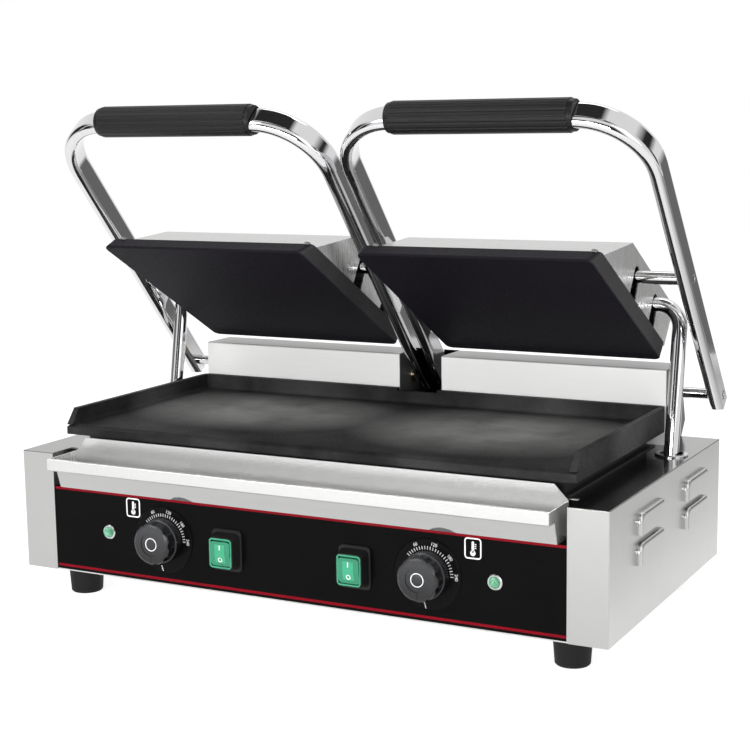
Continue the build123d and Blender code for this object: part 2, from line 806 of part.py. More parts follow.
# Controls.
def knob():
    """The thermostat knob: collar, scalloped grip with a dished face, and its spindle."""
    lobes = 9
    grip_face = Circle(knob_radius)
    for count in range(lobes):
        turn = 2 * math.pi * (count + 0.5) / lobes
        spot = (math.cos(turn) * (knob_radius + 5.9), math.sin(turn) * (knob_radius + 5.9))
        grip_face -= Pos(*spot) * Circle(7.0)
    front = Plane(origin=(0, -knob_reach, 0), x_dir=(1, 0, 0), z_dir=(0, -1, 0))
    scallops = extrude(front * grip_face, amount=-(knob_reach - 5.0))
    dome = [
        (0, -knob_reach),
        (knob_radius - 2.4, -knob_reach),
        (knob_radius - 0.7, -knob_reach + 1.0),
        (knob_radius + 1, -knob_reach + 4),
        (knob_radius + 1, -4.6),
        (0, -4.6),
    ]
    rounding = revolve(make_face(Polyline(*dome, close=True)), axis=Axis.Y)
    body = scallops & rounding
    collar_radius = knob_radius + 1.0
    collar = [
        (0, -9.0),
        (collar_radius - 1.0, -9.0),
        (collar_radius, -8.2),
        (collar_radius + 0.4, dial_front - 0.5),
        (0, dial_front - 0.5),
    ]
    body += revolve(make_face(Polyline(*collar, close=True)), axis=Axis.Y)
    body -= along_y(knob_radius * 0.56, 0, 0, -knob_reach - 1, -knob_reach + 0.7)
    body += along_y(spindle_radius, 0, 0, -2, panel_face + 14)
    return Pos(knob_x, 0, knob_z) * body


dial_front = panel_face - 1.5


def dials():
    """The raised dial discs behind the knobs, with a sloped rim."""
    discs = []
    for side in (-1, 1):
        disc = along_y(dial_radius, side * knob_x, knob_z, dial_front, panel_face)
        disc = chamfer(disc.edges().group_by(Axis.Y)[0], 0.9)
        disc -= along_y(spindle_radius + 1.5, side * knob_x, knob_z, -3, 3)
        discs.append(disc)
    return Compound(children=discs)


def thermostat():
    """The capillary thermostat behind the panel, bored for the knob's spindle."""
    back = panel_face + 1.5
    body = block(knob_x - 19, knob_x + 19, back + 3, back + 30, knob_z - 14, knob_z + 14)
    body += along_y(5.2, knob_x, knob_z, back, back + 4)
    body += block(knob_x - 22, knob_x + 22, back + 3, back + 4.5, knob_z - 6, knob_z + 6)
    body += block(knob_x - 12, knob_x - 8, back + 29, back + 38, knob_z - 8, knob_z + 8)
    body += block(knob_x + 8, knob_x + 12, back + 29, back + 38, knob_z - 8, knob_z + 8)
    body -= along_y(spindle_radius + run_gap, knob_x, knob_z, back - 2, back + 13.5)
    return body


def sensing_bulb():
    """The thermostat's capillary and bulb, up through the pan to the griddle's underside."""
    start_y = panel_face + 1.5 + 30
    level = element_z + 0.8
    points = [
        (knob_x, start_y, knob_z + 9),
        (knob_x, bulb_y(), knob_z + 9),
        (knob_x, bulb_y(), level),
        (knob_x + 30, bulb_y(), level),
    ]
    line = piped(points, 1.0, 6.0)
    line += along_x(3.0, bulb_y(), level, knob_x + 30, knob_x + 88)
    return line


key_half_x = 9.8
key_half_z = 11.0
key_front = -12.5
key_pivot = -3.0


def switch_frame():
    """The rocker switch's flange, raised soft boot, body and blades."""
    face = panel_face
    front = Plane(origin=(switch_x, face, switch_z), x_dir=(1, 0, 0), z_dir=(0, -1, 0))
    frame = extrude(front * RectangleRounded(30, 37, 4), amount=2.4)
    frame = chamfer(frame.faces().sort_by(Axis.Y)[0].edges(), 0.8)
    low = Plane(origin=(switch_x, face - 2.4, switch_z), x_dir=(1, 0, 0), z_dir=(0, -1, 0))
    high = Plane(origin=(switch_x, key_front + 1.6, switch_z), x_dir=(1, 0, 0), z_dir=(0, -1, 0))
    frame += loft([low * RectangleRounded(27.5, 32, 4.5), high * RectangleRounded(24, 27.5, 4.5)])
    frame += block(switch_x - 11.6, switch_x + 11.6, face, face + 24, switch_z - 14.2, switch_z + 14.2)
    half_x, half_z = key_half_x + slip_gap, key_half_z + 1.2
    frame -= block(switch_x - half_x, switch_x + half_x, -20, face + 8, switch_z - half_z, switch_z + half_z)
    for side in (-1, 1):
        for row in (-1, 1):
            blade = block(-0.4, 0.4, face + 23, face + 33, row * 7 - 3, row * 7 + 3)
            frame += Pos(switch_x + side * 6, 0, switch_z) * blade
    return frame


def rocker():
    """The rocker key: rounded corners, a slight ridge across the middle, resting switched off."""
    front = Plane(origin=(0, 0, 0), x_dir=(1, 0, 0), z_dir=(0, -1, 0))
    key = extrude(front * RectangleRounded(key_half_x * 2, key_half_z * 2, 3.0), amount=-key_front + key_pivot)
    slopes = [
        (key_front - key_pivot - 1, -key_half_z - 1),
        (key_front - key_pivot + 1.3, -key_half_z - 1),
        (key_front - key_pivot, 0),
        (key_front - key_pivot + 1.3, key_half_z + 1),
        (key_front - key_pivot - 1, key_half_z + 1),
    ]
    key -= side_prism(slopes, -key_half_x - 1, key_half_x + 1)
    key += along_x(2.0, 0, 0, -key_half_x, key_half_x)
    return Pos(switch_x, key_pivot, switch_z) * Rot(5, 0, 0) * key


def lamp_bezels():
    """The pilot lamps' rings with their barrels behind the panel."""
    rings = []
    for side in (-1, 1):
        ring = along_y(6.6, side * lamp_x, lamp_z, panel_face - 1.8, panel_face)
        ring = chamfer(ring.edges().group_by(Axis.Y)[0], 0.7)
        ring += along_y(4.4, side * lamp_x, lamp_z, panel_face, panel_face + 20)
        ring -= along_y(3.6, side * lamp_x, lamp_z, panel_face - 4, panel_face + 14)
        ring -= along_y(5.1, side * lamp_x, lamp_z, panel_face - 4, panel_face - 0.6)
        rings.append(ring)
    return Compound(children=rings)


def lamp_lenses():
    """The pilot lamps' domed lenses."""
    lenses = []
    profile = [(0, 8), (3.5, 8), (3.5, -0.6), (5.0, -0.6), (5.0, -2.0), (4.2, -3.6), (2.4, -4.7), (0, -5.1)]
    lens = revolve(make_face(Polyline(*profile, close=True)), axis=Axis.Y)
    for side in (-1, 1):
        lenses.append(Pos(side * lamp_x, panel_face, lamp_z) * lens)
    return Compound(children=lenses)


def terminal_block():
    """The mains terminal strip on the floor, three ways in a row."""
    x0 = gland_x() + 28
    y0 = case_depth - 60
    low = case_bottom + sheet
    strip = block(x0, x0 + 48, y0, y0 + 22, low, low + 12)
    for way in range(3):
        strip += block(x0 + 3 + way * 15, x0 + 15 + way * 15, y0 + 4, y0 + 18, low + 12, low + 19)
        strip -= along_y(2.4, x0 + 9 + way * 15, low + 14.5, y0 - 2, y0 + 24)
    return strip


def drip_tray():
    """The folded tray: rolled front lip over a steep apron, end walls and a tall back."""
    wall = 1.0
    half = opening_half - 8.0
    lip_top = case_top - 1.6
    lip_low = case_top - 12.4
    front = -lip_reach
    floor = shelf_top
    back_top = plate_bottom - 2.6
    apron_run = 6.0
    outer = [
        (front, lip_low),
        (front, lip_top),
        (tray_back, lip_top),
        (tray_back, floor),
        (0.0, floor),
        (-apron_run, lip_low),
    ]
    tray = side_prism(outer, -half, half)
    tray = fillet(tray.edges().filter_by(Axis.X).group_by(Axis.Y)[0], 1.2)
    inner = [
        (front + wall, lip_low + wall),
        (front + wall, lip_top + 2),
        (tray_back - wall, lip_top + 2),
        (tray_back - wall, floor + wall),
        (wall * 0.7, floor + wall),
        (wall * 0.7 - apron_run, lip_low + wall),
    ]
    tray -= side_prism(inner, -half + wall, half - wall)
    hem = block(-half, half, front, front + 4.0, lip_top - 1.4, lip_top)
    hem = fillet(hem.edges().filter_by(Axis.X).group_by(Axis.Z)[-1], 0.6)
    tray += hem
    back_face = Polyline(
        (-half, lip_top - 1),
        (-half, lip_top),
        (-half + 12, back_top),
        (half - 12, back_top),
        (half, lip_top),
        (half, lip_top - 1),
        close=True,
    )
    back_plane = Plane(origin=(0, tray_back, 0), x_dir=(1, 0, 0), z_dir=(0, -1, 0))
    tray += extrude(back_plane * make_face(back_face), amount=wall)
    return tray


os.makedirs("parts", exist_ok=True)
save_pair(side_case(), "side_case")
save(base_pan(), "base_pan")
save(feet(), "feet")
save(rear_panel(), "rear_panel")
save(cable_gland(), "cable_gland")
save(control_panel(), "control_panel")
save(deck(), "deck")
save(lower_plate(), "lower_plate")
save(heater_pan(), "heater_pan")
save_pair(lower_element(), "lower_element")
save(lower_insulation(), "lower_insulation")
save_pair(spring_box(), "spring_box")
save(gap_plate(), "gap_plate")
save(bushes(), "pivot_bushes")
save_pair(torsion_spring(), "torsion_spring")
save(grommets(), "conduit_grommets")
save_pair(arm_tube(), "arm_tube")
save_pair(grip(), "grip")
save_pair(hanger_rod(), "hanger_rod")
save_pair(pivot_rod(), "pivot_rod")
save_pair(spring_collar(), "spring_collar")
save_pair(head_plate(), "head_plate")
save_pair(head_cover(), "head_cover")
save_pair(head_brackets(), "head_brackets")
save_pair(head_element(), "head_element")
save_pair(head_insulation(), "head_insulation")
save_pair(conduit(), "conduit")
save_pair(knob(), "knob")
save(dials(), "dials")
save_pair(thermostat(), "thermostat")
save_pair(sensing_bulb(), "sensing_bulb")
save_pair(switch_frame(), "switch_frame")
save_pair(rocker(), "rocker")
save(lamp_bezels(), "lamp_bezels")
save(lamp_lenses(), "lamp_lenses")
save(terminal_block(), "terminal_block")
save(drip_tray(), "drip_tray")
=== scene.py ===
import math
import bpy
from mathutils import Matrix, Vector


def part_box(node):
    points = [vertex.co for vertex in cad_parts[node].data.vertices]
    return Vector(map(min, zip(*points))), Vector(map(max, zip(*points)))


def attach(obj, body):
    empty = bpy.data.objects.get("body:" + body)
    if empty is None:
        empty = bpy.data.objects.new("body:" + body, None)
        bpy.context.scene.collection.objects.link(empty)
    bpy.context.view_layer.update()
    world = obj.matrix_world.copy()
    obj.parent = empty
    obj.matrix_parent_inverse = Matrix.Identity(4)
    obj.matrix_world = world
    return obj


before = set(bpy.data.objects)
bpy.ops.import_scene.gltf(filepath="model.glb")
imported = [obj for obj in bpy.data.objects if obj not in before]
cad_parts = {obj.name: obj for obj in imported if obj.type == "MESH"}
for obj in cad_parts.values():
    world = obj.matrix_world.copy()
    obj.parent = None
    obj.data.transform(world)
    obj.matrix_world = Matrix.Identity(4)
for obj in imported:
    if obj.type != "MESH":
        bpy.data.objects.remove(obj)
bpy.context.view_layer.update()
scene = bpy.context.scene
scene.view_settings.view_transform = "Standard"
print("frame loaded")

mm = 0.001
sides = {"left": -1, "right": 1}
standUp = (math.radians(90), 0, 0)      # turns a flat piece so that it faces the front


def edge(node, end, axis):
    # one side of a node's box at rest, in metres
    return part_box(node)[("low", "high").index(end)]["xyz".index(axis)]


def centre(node, axis):
    return (edge(node, "low", axis) + edge(node, "high", axis)) / 2


front = edge("side_case_right", "low", "y")       # the casing's front plane
panelFace = edge("control_panel", "low", "y")
caseTop = edge("side_case_right", "high", "z")
knobX = centre("knob_right", "x")
knobZ = centre("knob_right", "z")


# materials
def newFinish(name, colour, metallic=0.0, roughness=0.5):
    material = bpy.data.materials.new(name)
    material.use_nodes = True
    shader = material.node_tree.nodes["Principled BSDF"]
    shader.inputs["Base Color"].default_value = (*colour, 1)
    shader.inputs["Metallic"].default_value = metallic
    shader.inputs["Roughness"].default_value = roughness
    return material, material.node_tree, shader


def feed(tree, value, socket):
    # links another node's output, or sets a plain number or colour
    if isinstance(value, bpy.types.NodeSocket):
        tree.links.new(value, socket)
    elif isinstance(value, tuple):
        socket.default_value = (*value, 1)
    else:
        socket.default_value = value


def place(tree, stretch=(1, 1, 1), shift=(0, 0, 0)):
    # object coordinates; a small stretch along one axis makes streaks along it
    coords = tree.nodes.new("ShaderNodeTexCoord")
    mapping = tree.nodes.new("ShaderNodeMapping")
    mapping.inputs["Scale"].default_value = stretch
    mapping.inputs["Location"].default_value = shift
    tree.links.new(coords.outputs["Object"], mapping.inputs["Vector"])
    return mapping.outputs["Vector"]


def noise(tree, vector, scale, detail=3.0, rough=0.5):
    node = tree.nodes.new("ShaderNodeTexNoise")
    node.inputs["Scale"].default_value = scale
    node.inputs["Detail"].default_value = detail
    node.inputs["Roughness"].default_value = rough
    tree.links.new(vector, node.inputs["Vector"])
    return node.outputs["Fac"]


def spread(tree, value, low, high, fromLow=0.25, fromHigh=0.75):
    # stretches a value's range to another one, and holds it there at both ends
    node = tree.nodes.new("ShaderNodeMapRange")
    node.inputs["From Min"].default_value = fromLow
    node.inputs["From Max"].default_value = fromHigh
    node.inputs["To Min"].default_value = low
    node.inputs["To Max"].default_value = high
    tree.links.new(value, node.inputs["Value"])
    return node.outputs["Result"]


def blendColours(tree, value, first, second, kind="MIX"):
    node = tree.nodes.new("ShaderNodeMix")
    node.data_type = "RGBA"
    node.blend_type = kind
    feed(tree, value, node.inputs["Factor"])
    feed(tree, first, node.inputs["A"])
    feed(tree, second, node.inputs["B"])
    return node.outputs["Result"]


def combine(tree, kind, first, second=0):
    node = tree.nodes.new("ShaderNodeMath")
    node.operation = kind
    feed(tree, first, node.inputs[0])
    feed(tree, second, node.inputs[1])
    return node.outputs["Value"]


def bump(tree, shader, height, strength, depth):
    node = tree.nodes.new("ShaderNodeBump")
    node.inputs["Strength"].default_value = strength
    node.inputs["Distance"].default_value = depth
    tree.links.new(height, node.inputs["Height"])
    tree.links.new(node.outputs["Normal"], shader.inputs["Normal"])


def partOf(tree, vector, axis):
    parts = tree.nodes.new("ShaderNodeSeparateXYZ")
    tree.links.new(vector, parts.inputs["Vector"])
    return parts.outputs[axis]


def normalPart(tree, axis):
    return partOf(tree, tree.nodes.new("ShaderNodeNewGeometry").outputs["Normal"], axis)


def faded(tree, fade):
    # 1 where a fade has not begun, down to its share where it is full; it runs with the direction
    # that the face looks in (X, Y or Z) or with the height above the table
    along, start, full, share = fade
    value = partOf(tree, place(tree), "Z") if along == "height" else normalPart(tree, along)
    return spread(tree, value, 1.0, share, start, full)


def paintShade(tree, colour, paintedShades):
    # paints shade into a colour: darkens it by each fade, to suit the photo's light: the bare material would
    # not do this
    for fade in paintedShades:
        colour = blendColours(tree, 1.0, colour, faded(tree, fade), "MULTIPLY")
    return colour


steel = {"streakDetail": 2.0, "streakRough": 0.7, "streakShare": 0.85, "smudgeScale": 7.0,
         "smudgeShare": 0.15, "darkest": 0.97, "bump": 0.12}


def brushedSteel(name, colour, grain, roughRange, polish=None, depth=0.00003, metallic=1.0, paintedShades=()):
    # stainless sheet: fine streaks along the grain, slow smudges, a polish that fades in, and the painted
    # shade of each fade given
    material, tree, shader = newFinish(name, colour, metallic=metallic)
    streaks = noise(tree, place(tree, grain), 1.0, steel["streakDetail"], steel["streakRough"])
    smudge = noise(tree, place(tree), steel["smudgeScale"])
    mixed = combine(tree, "ADD", combine(tree, "MULTIPLY", streaks, steel["streakShare"]),
                    combine(tree, "MULTIPLY", smudge, steel["smudgeShare"]))
    dark = tuple(c * steel["darkest"] for c in colour)
    skin = paintShade(tree, blendColours(tree, spread(tree, mixed, 0, 1), dark, colour), paintedShades)
    tree.links.new(skin, shader.inputs["Base Color"])
    rough = spread(tree, mixed, roughRange[1], roughRange[0])
    if polish:
        rough = combine(tree, "MULTIPLY", rough, faded(tree, polish))
    tree.links.new(rough, shader.inputs["Roughness"])
    bump(tree, shader, streaks, steel["bump"], depth)
    return material


chrome = {"hazeScale": 45.0, "hazeDetail": 5.0, "hazeRough": 0.65, "darkest": 0.94,
          "roughBand": (0.3, 0.75), "waveScale": 260.0, "waveDetail": 2.0, "bump": 0.04, "depth": 0.00005}


def chromeFinish(name, colour, roughRange):
    # polished metal with faint wipe marks
    material, tree, shader = newFinish(name, colour, metallic=1.0)
    haze = noise(tree, place(tree), chrome["hazeScale"], chrome["hazeDetail"], chrome["hazeRough"])
    rough = spread(tree, haze, *roughRange, *chrome["roughBand"])
    tree.links.new(rough, shader.inputs["Roughness"])
    dull = tuple(c * chrome["darkest"] for c in colour)
    skin = blendColours(tree, spread(tree, haze, 0, 1), colour, dull)
    tree.links.new(skin, shader.inputs["Base Color"])
    waves = noise(tree, place(tree), chrome["waveScale"], chrome["waveDetail"])
    bump(tree, shader, waves, chrome["bump"], chrome["depth"])
    return material


iron = {"grainDetail": 4.0, "grainRough": 0.6, "pitScale": 0.3, "pitDetail": 3.0, "pitRough": 0.55,
        "mottleScale": 14.0, "mottleDetail": 6.0, "mottleRough": 0.62, "mottleWear": 0.13,
        "wearBand": (0.4, 0.8), "patchDeep": 12.0, "patchBand": (0.02, 0.75),
        "patchMottle": (0.45, 1.15, 0.3, 0.7), "grainMottle": (0.55, 1.3, 0.3, 0.7),
        "flankBand": (0.45, 0.9), "flankMottle": (0.6, 1.2), "wearRough": 0.15, "roughBand": (0.3, 0.8),
        "bump": 0.35, "depth": 0.0002}


def wornPatch(tree, mottle, spot, span):
    # a soft round patch about a spot of the face, broken up by the mottling
    ball = tree.nodes.new("ShaderNodeTexGradient")
    ball.gradient_type = "SPHERICAL"
    deep = iron["patchDeep"]
    shift = (-spot[0] / span[0], -spot[1] / span[1], -spot[2] * deep)
    tree.links.new(place(tree, (1 / span[0], 1 / span[1], deep), shift), ball.inputs["Vector"])
    patch = spread(tree, ball.outputs["Fac"], 0, 1, *iron["patchBand"])
    return combine(tree, "MULTIPLY", patch, spread(tree, mottle, *iron["patchMottle"]))


def ironFinish(name, dark, worn, roughRange, grainSize=1500.0, wornSpots=(), specular=0.2, litFlank=None):
    # cast iron: open grain, slow mottling, lighter worn patches, and painted light that lightens the faces
    # looking along x
    material, tree, shader = newFinish(name, dark)
    grain = noise(tree, place(tree), grainSize, iron["grainDetail"], iron["grainRough"])
    pits = noise(tree, place(tree), grainSize * iron["pitScale"], iron["pitDetail"], iron["pitRough"])
    mottle = noise(tree, place(tree), iron["mottleScale"], iron["mottleDetail"], iron["mottleRough"])
    wear = spread(tree, mottle, 0, iron["mottleWear"], *iron["wearBand"])
    for spot, span in wornSpots:
        wear = combine(tree, "MAXIMUM", wear, wornPatch(tree, mottle, spot, span))
    speckle = combine(tree, "MULTIPLY", wear, spread(tree, grain, *iron["grainMottle"]))
    skin = blendColours(tree, speckle, dark, worn)
    if litFlank:
        # painted light: faces that look along x are lightened, broken up by the mottling
        side = combine(tree, "ABSOLUTE", normalPart(tree, "X"))
        side = spread(tree, side, 0, 1, *iron["flankBand"])
        lit = combine(tree, "MULTIPLY", side, spread(tree, mottle, *iron["flankMottle"]))
        skin = blendColours(tree, lit, skin, litFlank)
    tree.links.new(skin, shader.inputs["Base Color"])
    coarse = combine(tree, "ADD", pits, combine(tree, "MULTIPLY", wear, iron["wearRough"]))
    rough = spread(tree, coarse, *roughRange, *iron["roughBand"])
    tree.links.new(rough, shader.inputs["Roughness"])
    shader.inputs["Specular IOR Level"].default_value = specular
    bump(tree, shader, combine(tree, "ADD", grain, pits), iron["bump"], iron["depth"])
    return material


mould = {"grainDetail": 2.0, "slowScale": 30.0, "slowDetail": 4.0, "slowRough": 0.6, "darkest": 0.85,
         "lightest": 1.12, "roughBand": (0.3, 0.7), "bump": 0.3}


def mouldedFinish(name, colour, roughRange, specular, grainSize=2200.0, depth=0.00006, paintedShades=()):
    # moulded plastic, rubber or print: fine grain, a slow change of gloss, and the painted shade of each fade
    # given
    material, tree, shader = newFinish(name, colour)
    grain = noise(tree, place(tree), grainSize, mould["grainDetail"])
    slow = noise(tree, place(tree), mould["slowScale"], mould["slowDetail"], mould["slowRough"])
    rough = spread(tree, slow, *roughRange, *mould["roughBand"])
    tree.links.new(rough, shader.inputs["Roughness"])
    dark = tuple(c * mould["darkest"] for c in colour)
    light = tuple(c * mould["lightest"] for c in colour)
    skin = paintShade(tree, blendColours(tree, spread(tree, slow, 0, 1), dark, light), paintedShades)
    tree.links.new(skin, shader.inputs["Base Color"])
    shader.inputs["Specular IOR Level"].default_value = specular
    bump(tree, shader, grain, mould["bump"], depth)
    return material


lens = {"dark": (0.03, 0.32, 0.14), "middle": (0.10, 0.60, 0.34), "light": (0.42, 0.90, 0.62),
        "roughness": 0.06, "clearness": 0.35, "bending": 1.49, "facetScale": 420.0, "bump": 0.5,
        "depth": 0.0004}


def lensFinish():
    # faceted green cap of the pilot lamp
    material, tree, shader = newFinish("lensGreen", lens["middle"], roughness=lens["roughness"])
    shader.inputs["Transmission Weight"].default_value = lens["clearness"]
    shader.inputs["IOR"].default_value = lens["bending"]
    facets = tree.nodes.new("ShaderNodeTexVoronoi")
    facets.inputs["Scale"].default_value = lens["facetScale"]
    tree.links.new(place(tree), facets.inputs["Vector"])
    skin = blendColours(tree, facets.outputs["Distance"], lens["dark"], lens["light"])
    tree.links.new(skin, shader.inputs["Base Color"])
    bump(tree, shader, facets.outputs["Distance"], lens["bump"], lens["depth"])
    return material


# where two worn patches of the griddle lie, and their reach along x and y
griddleY = centre("lower_plate", "y")
griddleZ = edge("lower_plate", "low", "z") + 8.7 * mm
griddleWear = (((0.125, griddleY + 0.012, griddleZ), (0.15, 0.115)),
               ((-0.120, griddleY + 0.018, griddleZ), (0.15, 0.105)))

# a fade's first three values: what it runs with, where it begins and where it is full
# the case top's and the apron's fades set both a polish and painted shade; the knob's fade sets painted shade
# only
caseTopFade = ("height", caseTop - 0.9 * mm, caseTop - 0.3 * mm)
apronFade = ("Z", -0.1, -0.25)
knobShadeFade = ("height", knobZ + 13 * mm, knobZ - 13 * mm)

# after the name and colours: a steel's grain, the range of roughness, and a moulding's specular,
# grain size and depth of bump
finishes = {
    # casing: painted shade darkens its top strip to 0.48 and its front faces to 0.84
    "case": brushedSteel("caseSteel", (0.56, 0.56, 0.55), (30, 700, 30), (0.27, 0.31),
                         polish=(*caseTopFade, 0.65), depth=0.000002,
                         paintedShades=((*caseTopFade, 0.48), ("Y", -0.5, -0.9, 0.84))),
    "flange": brushedSteel("sheetSteel", (0.60, 0.60, 0.59), (24, 700, 60), (0.3, 0.42)),
    # tray: painted shade darkens the down-facing apron to 0.54 and the front-facing lip to 0.74
    "tray": brushedSteel("traySteel", (0.86, 0.86, 0.85), (8, 500, 8), (0.26, 0.28),
                         polish=(*apronFade, 0.06), depth=0.0000005, metallic=0.75,
                         paintedShades=((*apronFade, 0.54), ("Y", -0.95, -0.99, 0.74))),
    # spring boxes: painted shade darkens the top to 0.37, the cheeks that look along +x to 0.08 and those
    # along -x to 0.25; the near-white colour on almost non-metallic steel is a painted reflection of the
    # white floor in front
    "box": brushedSteel("boxSteel", (0.95, 0.95, 0.935), (12, 500, 500), (0.28, 0.34),
                        depth=0.00002, metallic=0.05,
                        paintedShades=(("Z", 0.3, 0.9, 0.37), ("X", 0.4, 0.9, 0.08), ("X", -0.4, -0.9, 0.25))),
    # hoods: painted shade darkens the up-facing tops to 0.62
    "hood": brushedSteel("hoodSteel", (0.84, 0.84, 0.83), (12, 400, 14), (0.24, 0.32),
                         depth=0.000003, metallic=0.8, paintedShades=(("Z", 0.3, 0.7, 0.62),)),
    "chrome": chromeFinish("polishedChrome", (0.68, 0.68, 0.69), (0.03, 0.08)),
    "rod": chromeFinish("rodSteel", (0.58, 0.58, 0.58), (0.08, 0.16)),
    "griddle": ironFinish("griddleIron", (0.0125, 0.0125, 0.013), (0.36, 0.36, 0.35), (0.48, 0.70),
                          wornSpots=griddleWear, specular=0.10),
    # head plates: the flanks that look along x get painted light, a lighter charcoal
    "headIron": ironFinish("headIron", (0.0100, 0.0083, 0.0122), (0.014, 0.012, 0.017), (0.5, 0.7),
                           grainSize=1900.0, specular=0.06, litFlank=(0.062, 0.062, 0.064)),
    "panel": mouldedFinish("panelPaint", (0.0035, 0.0035, 0.0035), (0.14, 0.22), 0.04, 2600.0, 0.00001),
    "pan": ironFinish("panEnamel", (0.022, 0.022, 0.024), (0.05, 0.05, 0.05), (0.4, 0.6), 900.0),
    "grip": mouldedFinish("gripPlastic", (0.0075, 0.0075, 0.0085), (0.34, 0.46), 0.22),
    # knobs: painted shade, from full colour at the top down to 0.26 at the bottom, and 0.35 on faces that
    # look along +x
    "knob": mouldedFinish("knobPlastic", (0.036, 0.037, 0.041), (0.22, 0.32), 0.42,
                          paintedShades=((*knobShadeFade, 0.26), ("X", 0.3, 0.9, 0.35))),
    "dial": mouldedFinish("dialPlastic", (0.0025, 0.0025, 0.003), (0.2, 0.32), 0.07),
    "boot": mouldedFinish("bootRubber", (0.007, 0.007, 0.007), (0.45, 0.6), 0.25),
    "rubber": mouldedFinish("footRubber", (0.0085, 0.0085, 0.0085), (0.5, 0.7), 0.2, 1200.0, 0.00012),
    "green": mouldedFinish("keyGreen", (0.022, 0.235, 0.125), (0.16, 0.28), 0.5, 900.0, 0.00002),
    "greenInset": mouldedFinish("keyInset", (0.038, 0.37, 0.20), (0.12, 0.2), 0.5, 900.0, 0.00002),
    # the rim's green is lighter than the key's: a painted highlight along the key's edge
    "greenRim": mouldedFinish("keyRimGreen", (0.035, 0.30, 0.17), (0.16, 0.26), 0.5, 900.0, 0.00002),
    "redLine": mouldedFinish("lineRed", (0.225, 0.002, 0.010), (0.3, 0.45), 0.08),
    "print": mouldedFinish("printWhite", (0.93, 0.93, 0.92), (0.4, 0.55), 0.3),
    "dialPrint": mouldedFinish("printGrey", (0.60, 0.60, 0.60), (0.4, 0.55), 0.3),
    "brass": chromeFinish("turnedBrass", (0.60, 0.42, 0.18), (0.22, 0.36)),
    "copper": chromeFinish("drawnCopper", (0.62, 0.32, 0.18), (0.2, 0.34)),
    "element": brushedSteel("elementSteel", (0.26, 0.25, 0.24), (200, 200, 200), (0.38, 0.55)),
    "spring": brushedSteel("springSteel", (0.20, 0.20, 0.21), (300, 300, 300), (0.3, 0.45)),
    "wool": mouldedFinish("mineralWool", (0.62, 0.58, 0.48), (0.85, 0.95), 0.1, 500.0, 0.001),
    "cream": mouldedFinish("creamPlastic", (0.72, 0.69, 0.6), (0.4, 0.55), 0.4),
    "lens": lensFinish(),
}

nodeFinish = {
    "side_case": "case", "base_pan": "flange", "feet": "rubber", "rear_panel": "flange",
    "cable_gland": "grip", "control_panel": "panel", "deck": "case", "lower_plate": "griddle",
    "heater_pan": "pan", "lower_element": "element", "lower_insulation": "wool", "spring_box": "box",
    "gap_plate": "panel", "pivot_bushes": "brass", "torsion_spring": "spring", "conduit_grommets": "rod",
    "dials": "dial", "thermostat": "cream", "sensing_bulb": "copper", "switch_frame": "boot",
    "lamp_bezels": "rod", "lamp_lenses": "lens", "terminal_block": "cream", "drip_tray": "tray",
    "arm_tube": "chrome", "grip": "grip", "hanger_rod": "rod", "pivot_rod": "rod",
    "spring_collar": "element", "head_plate": "headIron", "head_cover": "hood",
    "head_brackets": "element", "head_element": "element", "head_insulation": "wool",
    "conduit": "chrome", "knob": "knob", "rocker": "green",
}


def finishOf(node):
    # longest matching start of the node's name
    match = max((start for start in nodeFinish if node.startswith(start)), key=len)
    return finishes[nodeFinish[match]]


for node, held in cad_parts.items():
    held.data.materials.clear()
    held.data.materials.append(finishOf(node))
print("finishes set on", len(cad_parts), "nodes")

# modelling helpers
making = {"cornerSteps": 6, "weld": 0.004 * mm, "smoothAngle": 35, "inkThick": 0.10 * mm, "inkSpread": 0.012}
inkThick = making["inkThick"]


def onlySelect(*pieces):
    bpy.ops.object.select_all(action="DESELECT")
    for piece in pieces:
        piece.select_set(True)
    bpy.context.view_layer.objects.active = pieces[0]


def pickFaces(piece, wanted):
    # selects the faces whose normal passes the test, and stays in edit mode
    bpy.ops.object.mode_set(mode="EDIT")
    bpy.ops.mesh.select_mode(type="FACE")
    bpy.ops.mesh.select_all(action="DESELECT")
    bpy.ops.object.mode_set(mode="OBJECT")
    for face in piece.data.polygons:
        face.select = wanted(face.normal)
    bpy.ops.object.mode_set(mode="EDIT")


def looksUp(normal):
    return normal.z > 0.5


def applyModifier(piece, kind, **settings):
    onlySelect(piece)
    modifier = piece.modifiers.new(kind.title(), kind)
    for setting, value in settings.items():
        setattr(modifier, setting, value)
    bpy.ops.object.modifier_apply(modifier=modifier.name)


def joinPieces(pieces):
    onlySelect(*pieces)
    bpy.ops.object.join()
    return bpy.context.view_layer.objects.active


def settle(piece, turn=(0, 0, 0), spot=(0, 0, 0)):
    # turns a piece about its origin, puts the origin at a spot, and keeps both in its mesh
    onlySelect(piece)
    piece.rotation_euler = turn
    piece.location = spot
    bpy.ops.object.transform_apply(location=True, rotation=True, scale=True)
    return piece


def copyOf(piece):
    # a second piece with its own mesh
    onlySelect(piece)
    bpy.ops.object.duplicate(linked=False)
    return bpy.context.view_layer.objects.active


def discard(*pieces):
    onlySelect(*pieces)
    bpy.ops.object.delete()


def handOver(piece, name, finish, body, angle=making["smoothAngle"]):
    # cleans the mesh, names and dresses the piece, and lets it ride on a body
    onlySelect(piece)
    bpy.ops.object.transform_apply(location=True, rotation=True, scale=True)
    bpy.ops.object.mode_set(mode="EDIT")
    bpy.ops.mesh.select_all(action="SELECT")
    bpy.ops.mesh.remove_doubles(threshold=making["weld"])
    bpy.ops.mesh.normals_make_consistent(inside=False)
    bpy.ops.object.mode_set(mode="OBJECT")
    bpy.ops.object.shade_smooth_by_angle(angle=math.radians(angle))
    piece.name = name
    piece.data.materials.clear()
    piece.data.materials.append(finishes[finish])
    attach(piece, body)


